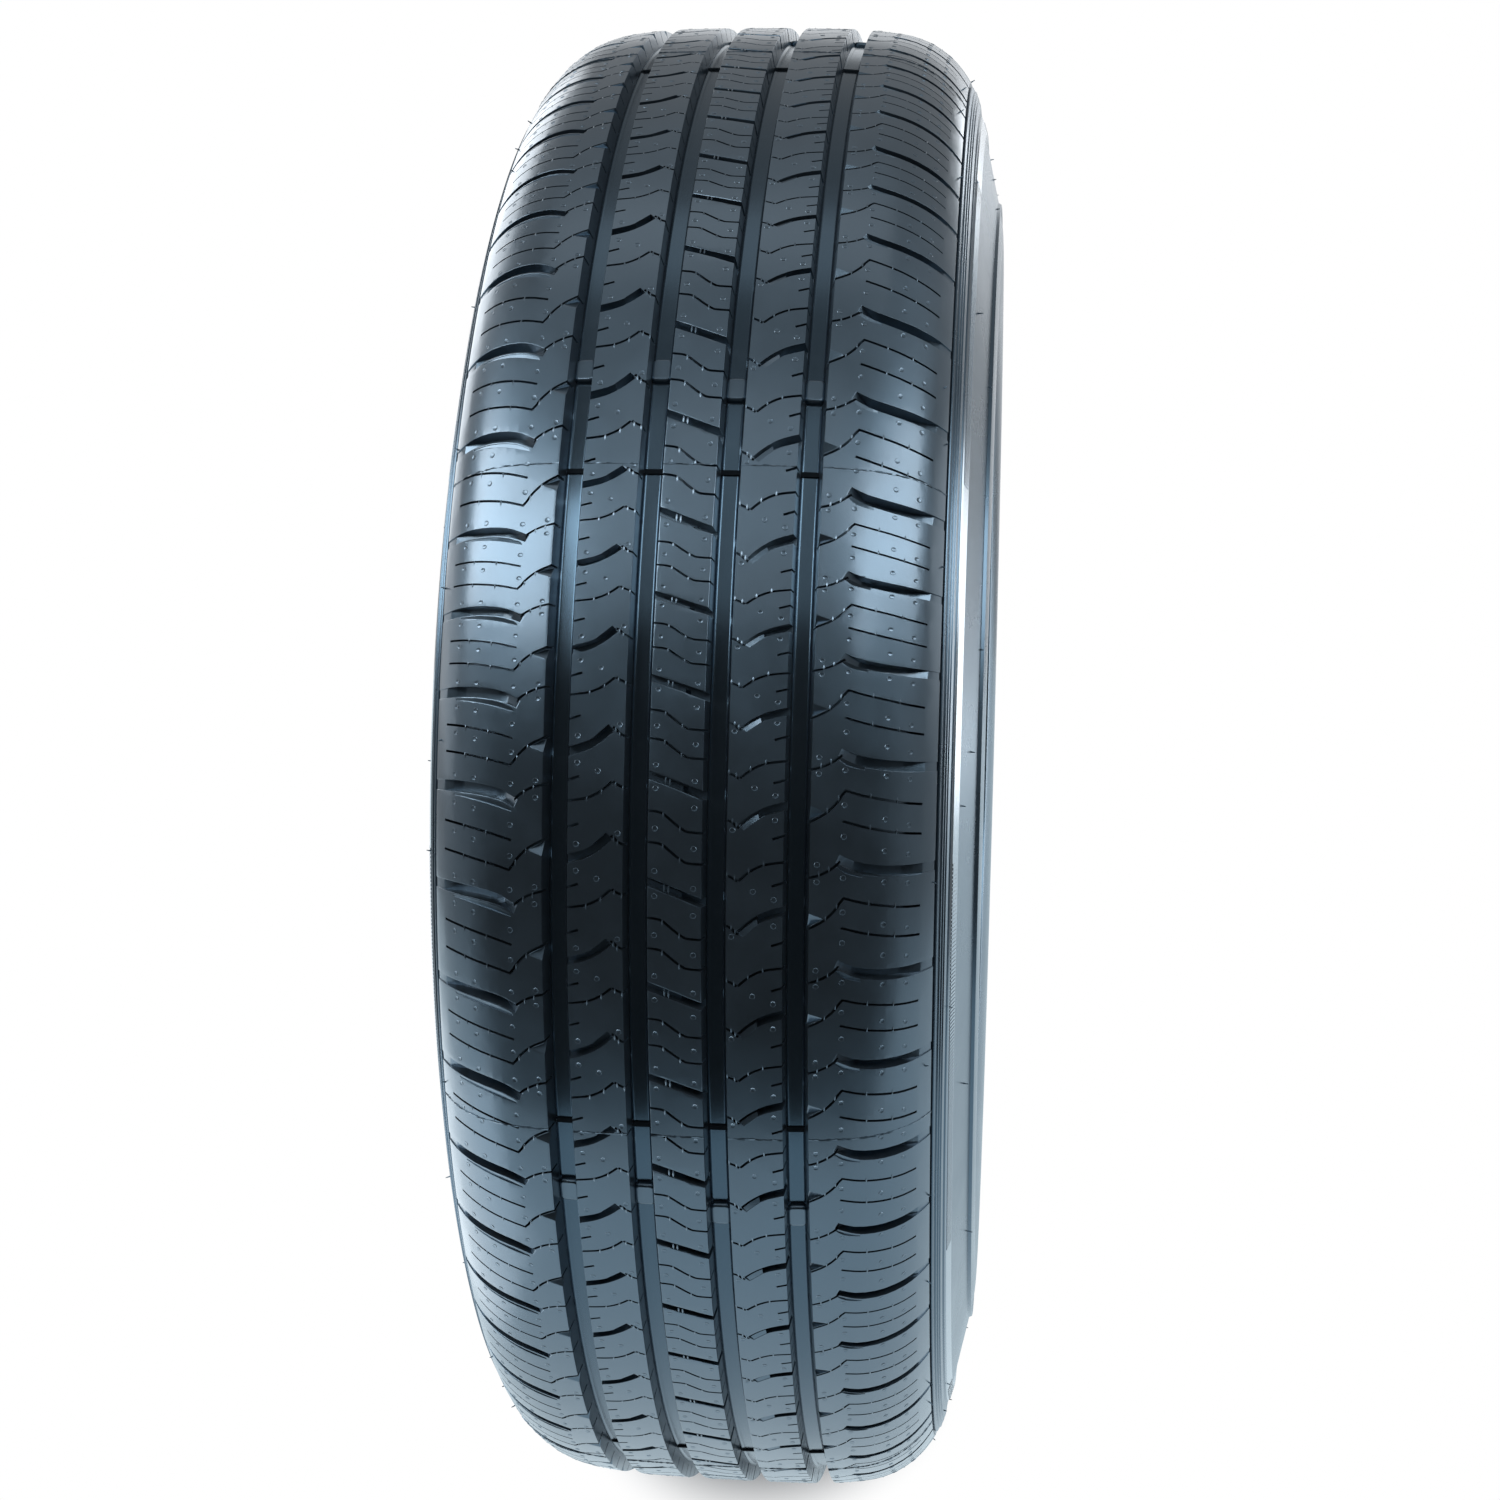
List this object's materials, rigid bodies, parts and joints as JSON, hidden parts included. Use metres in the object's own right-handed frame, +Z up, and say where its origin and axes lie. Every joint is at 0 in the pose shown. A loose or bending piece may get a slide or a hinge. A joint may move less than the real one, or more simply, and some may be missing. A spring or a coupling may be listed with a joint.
{
  "type": "car tyre",
  "caption": "Unmounted radial car tyre: ribbed touring tread with straight grooves, slotted round shoulders, smooth sidewalls and two beads that seat on a rim.",
  "frame": {"origin": "centre of the tyre, on the axle line midway between the two beads", "axes": "+Y along the axle, towards the sidewall seen in the picture; +Z up; +X the way the tread faces"},
  "size_m": [0.724, 0.2282, 0.724],
  "materials": {
    "tyre": "satin blue-black rubber"
  },
  "bodies": {
    "root": {"tyre": "tyre"}
  },
  "joints": []
}
